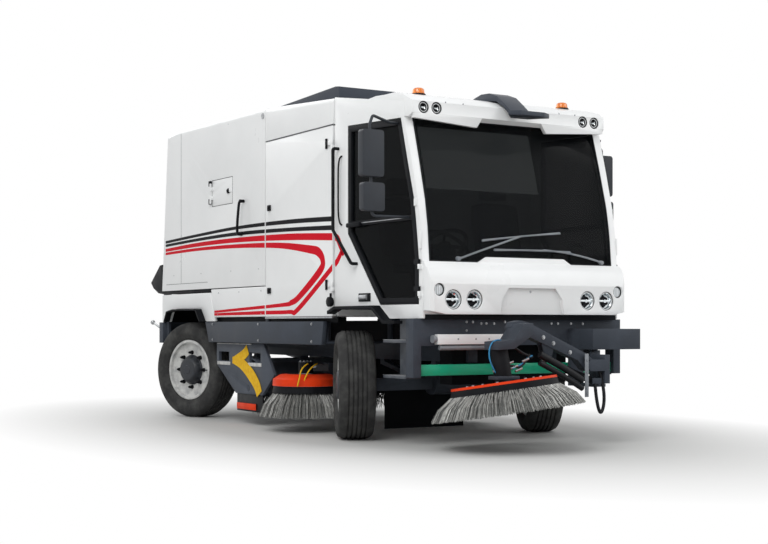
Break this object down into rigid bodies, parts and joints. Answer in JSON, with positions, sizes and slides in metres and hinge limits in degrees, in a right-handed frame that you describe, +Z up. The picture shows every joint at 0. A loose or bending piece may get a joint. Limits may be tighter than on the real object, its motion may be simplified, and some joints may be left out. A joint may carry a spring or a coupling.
{
  "type": "street sweeper truck",
  "caption": "Street sweeper truck with a tipping hopper, a hollow cab with doors, steered wheels, a roller brush, side brushes and a front brush on a swinging boom",
  "frame": {"origin": "On the ground, under the middle of the bounding box", "axes": "+X forward in the driving direction, +Y to the vehicle's left, +Z up"},
  "size_m": [6.3271, 2.6698, 2.89],
  "materials": {
    "white_paint": "gloss enamel",
    "frame_paint": "satin chassis paint",
    "black_trim": "textured black",
    "glass": "tinted",
    "rubber_tyre": "moulded",
    "rim_paint": "silver enamel",
    "orange_paint": "gloss enamel",
    "amber": "clear moulded",
    "lamp_glass": "fluted",
    "bristle": "bundled bristle",
    "cloth": "woven",
    "bright_steel": "hard chromed",
    "flap_rubber": "moulded"
  },
  "bodies": {
    "chassis": {"chassis_frame": "frame_paint", "side_hangers": "frame_paint", "axles": "frame_paint", "sill_panels": "frame_paint", "body_skirts": "white_paint", "arch_flares": "black_trim", "engine_housing": "white_paint", "engine_block": "black_trim", "roof_trim": "black_trim", "cab_shell": "white_paint", "windscreen": "glass", "cab_fascia": "white_paint", "front_lamps": "lamp_glass", "roof_visor": "white_paint", "amber_lamps": "amber", "seats": "cloth", "dashboard": "black_trim", "front_frame": "frame_paint", "steps_and_rails": "black_trim", "brush_housing": "frame_paint", "dust_skirts": "flap_rubber"},
    "hub_front_right": {"knuckle_front_right": "frame_paint"},
    "wheel_front_right": {"rim_front_right": "rim_paint", "tyre_front_right": "rubber_tyre"},
    "hub_front_left": {"knuckle_front_left": "frame_paint"},
    "wheel_front_left": {"rim_front_left": "rim_paint", "tyre_front_left": "rubber_tyre"},
    "hub_rear_right": {"knuckle_rear_right": "frame_paint"},
    "wheel_rear_right": {"rim_rear_right": "rim_paint", "tyre_rear_right": "rubber_tyre"},
    "hub_rear_left": {"knuckle_rear_left": "frame_paint"},
    "wheel_rear_left": {"rim_rear_left": "rim_paint", "tyre_rear_left": "rubber_tyre"},
    "hopper": {"hopper_base": "black_trim", "hopper_shell": "white_paint"},
    "tailgate": {"hopper_door": "white_paint"},
    "hatch": {"side_hatch": "white_paint"},
    "bay_door_right": {"bay_door_right": "white_paint"},
    "cab_door_right": {"cab_door_right": "white_paint", "door_glass_right": "glass", "mirrors_right": "black_trim"},
    "bay_door_left": {"bay_door_left": "white_paint"},
    "cab_door_left": {"cab_door_left": "white_paint", "door_glass_left": "glass", "mirrors_left": "black_trim"},
    "roller": {"main_brush": "bristle"},
    "side_sleeve_right": {"side_sleeve_right": "frame_paint"},
    "side_arm_right": {"side_arm_right": "orange_paint"},
    "side_brush_right": {"side_brush_right": "bristle"},
    "side_sleeve_left": {"side_sleeve_left": "frame_paint"},
    "side_arm_left": {"side_arm_left": "orange_paint"},
    "side_brush_left": {"side_brush_left": "bristle"},
    "swing": {"front_swing": "frame_paint"},
    "boom": {"front_boom": "frame_paint"},
    "lift_barrel": {"lift_barrel": "frame_paint"},
    "lift_rod": {"lift_rod": "bright_steel"},
    "front_brush": {"front_brush": "bristle"}
  },
  "joints": [
    {"name": "steer_front_right", "type": "hinge", "parent": "chassis", "child": "hub_front_right", "pos_m": [1.099, -0.7595, 0.436], "axis": [0, 0, 1], "range_deg": [-10, 60]},
    {"name": "roll_front_right", "type": "hinge", "parent": "hub_front_right", "child": "wheel_front_right", "pos_m": [1.04237, -0.88095, 0.436], "axis": [0.4226, 0.9063, 0], "continuous": true},
    {"name": "steer_front_left", "type": "hinge", "parent": "chassis", "child": "hub_front_left", "pos_m": [1.099, 0.7595, 0.436], "axis": [0, 0, 1], "range_deg": [-10, 60]},
    {"name": "roll_front_left", "type": "hinge", "parent": "hub_front_left", "child": "wheel_front_left", "pos_m": [1.15563, 0.88095, 0.436], "axis": [0.4226, 0.9063, 0], "continuous": true},
    {"name": "steer_rear_right", "type": "hinge", "parent": "chassis", "child": "hub_rear_right", "pos_m": [-2.186, -0.7595, 0.471], "axis": [0, 0, 1], "range_deg": [-46, 8]},
    {"name": "roll_rear_right", "type": "hinge", "parent": "hub_rear_right", "child": "wheel_rear_right", "pos_m": [-2.14237, -0.8862, 0.471], "axis": [-0.3256, 0.9455, 0], "continuous": true},
    {"name": "steer_rear_left", "type": "hinge", "parent": "chassis", "child": "hub_rear_left", "pos_m": [-2.186, 0.7595, 0.471], "axis": [0, 0, 1], "range_deg": [-46, 8]},
    {"name": "roll_rear_left", "type": "hinge", "parent": "hub_rear_left", "child": "wheel_rear_left", "pos_m": [-2.22963, 0.8862, 0.471], "axis": [-0.3256, 0.9455, 0], "continuous": true},
    {"name": "hopper_tip", "type": "hinge", "parent": "chassis", "child": "hopper", "pos_m": [-2.891, 0, 1.368], "axis": [0, -1, 0], "range_deg": [0, 50]},
    {"name": "tailgate_swing", "type": "hinge", "parent": "hopper", "child": "tailgate", "pos_m": [-2.66621, 0, 2.778], "axis": [0, 1, 0], "range_deg": [0, 85]},
    {"name": "hatch_swing", "type": "hinge", "parent": "hopper", "child": "hatch", "pos_m": [-1.527, -1.013, 2.18], "axis": [0, 0, -1], "range_deg": [0, 120]},
    {"name": "bay_door_right_swing", "type": "hinge", "parent": "chassis", "child": "bay_door_right", "pos_m": [0.908, -1.013, 1.7], "axis": [0, 0, 1], "range_deg": [0, 85]},
    {"name": "cab_door_right_swing", "type": "hinge", "parent": "chassis", "child": "cab_door_right", "pos_m": [2.11293, -0.9379, 1.6], "axis": [0, 0, 1], "range_deg": [0, 70]},
    {"name": "bay_door_left_swing", "type": "hinge", "parent": "chassis", "child": "bay_door_left", "pos_m": [0.908, 1.013, 1.7], "axis": [0, 0, -1], "range_deg": [0, 85]},
    {"name": "cab_door_left_swing", "type": "hinge", "parent": "chassis", "child": "cab_door_left", "pos_m": [2.11293, 0.9379, 1.6], "axis": [0, 0, -1], "range_deg": [0, 70]},
    {"name": "roller_spin", "type": "hinge", "parent": "chassis", "child": "roller", "pos_m": [-0.846, 0, 0.336], "axis": [0, 1, 0], "continuous": true},
    {"name": "side_lift_right", "type": "hinge", "parent": "chassis", "child": "side_sleeve_right", "pos_m": [0.084, -0.225, 0.545], "axis": [-1, 0, 0], "range_deg": [-6, 6]},
    {"name": "side_reach_right", "type": "slide", "parent": "side_sleeve_right", "child": "side_arm_right", "axis": [0, -1, 0], "range_m": [0, 0.28]},
    {"name": "side_spin_right", "type": "hinge", "parent": "side_arm_right", "child": "side_brush_right", "pos_m": [0.084, -0.82, 0.4], "axis": [0, 0, -1], "continuous": true},
    {"name": "side_lift_left", "type": "hinge", "parent": "chassis", "child": "side_sleeve_left", "pos_m": [0.084, 0.225, 0.545], "axis": [1, 0, 0], "range_deg": [-6, 6]},
    {"name": "side_reach_left", "type": "slide", "parent": "side_sleeve_left", "child": "side_arm_left", "axis": [0, 1, 0], "range_m": [0, 0.28]},
    {"name": "side_spin_left", "type": "hinge", "parent": "side_arm_left", "child": "side_brush_left", "pos_m": [0.084, 0.82, 0.4], "axis": [0, 0, 1], "continuous": true},
    {"name": "front_swing", "type": "hinge", "parent": "chassis", "child": "swing", "pos_m": [2.354, 0.52, 0.6], "axis": [0, 0, 1], "range_deg": [0, 95]},
    {"name": "boom_lift", "type": "hinge", "parent": "swing", "child": "boom", "pos_m": [2.464, 0.36, 0.61], "axis": [-1, 0, 0], "range_deg": [-6.5, 5]},
    {"name": "lift_barrel_swing", "type": "hinge", "parent": "swing", "child": "lift_barrel", "pos_m": [2.464, 0.4, 0.49], "axis": [-1, 0, 0], "range_deg": [-6, 5]},
    {"name": "lift_rod_slide", "type": "slide", "parent": "lift_barrel", "child": "lift_rod", "axis": [0, -0.9328, 0.3604], "range_m": [-0.013, 0.011]},
    {"name": "front_brush_spin", "type": "hinge", "parent": "boom", "child": "front_brush", "pos_m": [2.572, -0.5, 0.49], "axis": [-0.1189, -0.0935, 0.9885], "continuous": true}
  ],
  "couplings": [
    {"joint": "steer_front_left", "follows": "steer_front_right", "ratio": 1},
    {"joint": "steer_rear_right", "follows": "steer_front_right", "ratio": -0.76},
    {"joint": "steer_rear_left", "follows": "steer_front_right", "ratio": -0.76},
    {"joint": "lift_barrel_swing", "follows": "boom_lift", "ratio": 0.83},
    {"joint": "lift_rod_slide", "follows": "boom_lift", "m_per_rad": 0.098}
  ]
}
